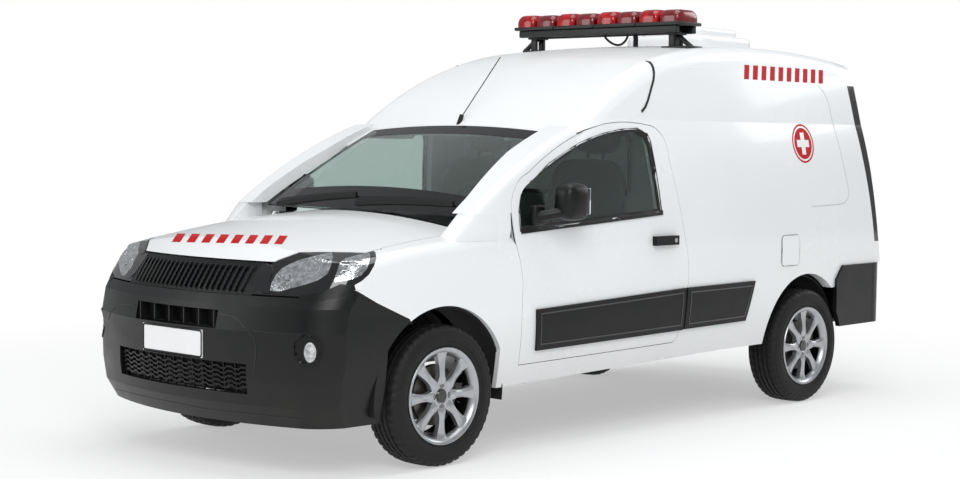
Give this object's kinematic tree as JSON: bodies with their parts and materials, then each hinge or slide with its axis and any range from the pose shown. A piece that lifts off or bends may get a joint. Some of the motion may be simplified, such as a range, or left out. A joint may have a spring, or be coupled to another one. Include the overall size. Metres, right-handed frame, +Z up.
{
  "type": "high-roof box van ambulance",
  "caption": "Small front-wheel-drive van with a moulded high box, roof light bar, opening cab doors, bonnet and rear doors, steered front wheels.",
  "frame": {"origin": "on the ground, midway between the bumpers and on the centre line", "axes": "+X to the vehicle's left, -Y forwards, +Z up"},
  "size_m": [1.97, 4.3838, 2.0499],
  "materials": {
    "alloy": "satin",
    "black_plastic": "satin",
    "cast": "rough",
    "dark_plastic": "satin",
    "glass": "gloss",
    "lamp_clear": "gloss",
    "lamp_dark": "gloss",
    "plate": "satin",
    "red_lens": "gloss",
    "seat_fabric": "matt",
    "steel_black": "satin",
    "tyre": "matt",
    "white_paint": "gloss"
  },
  "bodies": {
    "body": {"aerial": "black_plastic", "box_roof": "white_paint", "bulkhead": "white_paint", "cab_roof": "white_paint", "cowl": "black_plastic", "dashboard": "black_plastic", "engine_block": "cast", "exhaust": "steel_black", "fender_left": "white_paint", "fender_right": "white_paint", "floor_pan": "steel_black", "fog_lamps": "lamp_clear", "front_bumper": "black_plastic", "front_structure": "steel_black", "front_subframe": "steel_black", "fuel_flap": "white_paint", "fuel_tank": "steel_black", "grille": "black_plastic", "headlamp_left": "lamp_clear", "headlamp_right": "lamp_clear", "lightbar_base": "steel_black", "lightbar_lenses": "red_lens", "load_floor": "steel_black", "number_plate": "plate", "rear_axle": "steel_black", "rear_bumper": "black_plastic", "rear_frame": "white_paint", "roof_ventilator": "white_paint", "seats": "seat_fabric", "side_panel_left": "white_paint", "side_panel_right": "white_paint", "side_strips": "black_plastic", "steering_wheel": "black_plastic", "tail_lamps": "lamp_dark", "wheel_tubs": "steel_black", "windscreen": "glass", "wipers": "steel_black"},
    "cab_door_left": {"door_glass_left": "glass", "door_handle_left": "black_plastic", "door_left": "white_paint", "door_mirror_left": "dark_plastic", "door_strip_left": "black_plastic"},
    "steering_left": {"knuckle_left": "cast"},
    "rear_leaf_left": {"rear_door_left": "white_paint"},
    "wheel_front_left": {"tyre_front_left": "tyre", "rim_front_left": "alloy"},
    "wheel_rear_left": {"tyre_rear_left": "tyre", "rim_rear_left": "alloy"},
    "cab_door_right": {"door_glass_right": "glass", "door_handle_right": "black_plastic", "door_mirror_right": "dark_plastic", "door_right": "white_paint", "door_strip_right": "black_plastic"},
    "steering_right": {"knuckle_right": "cast"},
    "rear_leaf_right": {"rear_door_right": "white_paint"},
    "wheel_front_right": {"tyre_front_right": "tyre", "rim_front_right": "alloy"},
    "wheel_rear_right": {"tyre_rear_right": "tyre", "rim_rear_right": "alloy"},
    "bonnet_lid": {"bonnet": "white_paint"}
  },
  "joints": [
    {"name": "cab_door_left_hinge", "type": "hinge", "parent": "body", "child": "cab_door_left", "pos_m": [0.806, -1.006, 0.9], "axis": [0, 0, -1], "range_deg": [0, 65]},
    {"name": "rear_door_left_hinge", "type": "hinge", "parent": "body", "child": "rear_leaf_left", "pos_m": [0.64, 2.04, 1.2], "axis": [0, 0.181, -0.9835], "range_deg": [0, 90]},
    {"name": "steering_left_kingpin", "type": "hinge", "parent": "body", "child": "steering_left", "pos_m": [0.632, -1.38, 0.29], "axis": [-0.168, 0, 0.9858], "range_deg": [-33, 33]},
    {"name": "wheel_front_left_spin", "type": "hinge", "parent": "steering_left", "child": "wheel_front_left", "pos_m": [0.712, -1.38, 0.3015], "axis": [1, 0, 0], "continuous": true},
    {"name": "wheel_rear_left_spin", "type": "hinge", "parent": "body", "child": "wheel_rear_left", "pos_m": [0.712, 1.337, 0.3015], "axis": [1, 0, 0], "continuous": true},
    {"name": "cab_door_right_hinge", "type": "hinge", "parent": "body", "child": "cab_door_right", "pos_m": [-0.806, -1.006, 0.9], "axis": [0, 0, 1], "range_deg": [0, 65]},
    {"name": "rear_door_right_hinge", "type": "hinge", "parent": "body", "child": "rear_leaf_right", "pos_m": [-0.64, 2.04, 1.2], "axis": [0, -0.181, 0.9835], "range_deg": [0, 90]},
    {"name": "steering_right_kingpin", "type": "hinge", "parent": "body", "child": "steering_right", "pos_m": [-0.632, -1.38, 0.29], "axis": [0.168, 0, 0.9858], "range_deg": [-33, 33]},
    {"name": "wheel_front_right_spin", "type": "hinge", "parent": "steering_right", "child": "wheel_front_right", "pos_m": [-0.712, -1.38, 0.3015], "axis": [1, 0, 0], "continuous": true},
    {"name": "wheel_rear_right_spin", "type": "hinge", "parent": "body", "child": "wheel_rear_right", "pos_m": [-0.712, 1.337, 0.3015], "axis": [1, 0, 0], "continuous": true},
    {"name": "bonnet_hinge", "type": "hinge", "parent": "body", "child": "bonnet_lid", "pos_m": [0, -1.13, 1.01], "axis": [-1, 0, 0], "range_deg": [0, 45]}
  ],
  "couplings": [
    {"joint": "steering_right_kingpin", "follows": "steering_left_kingpin", "ratio": 1}
  ]
}
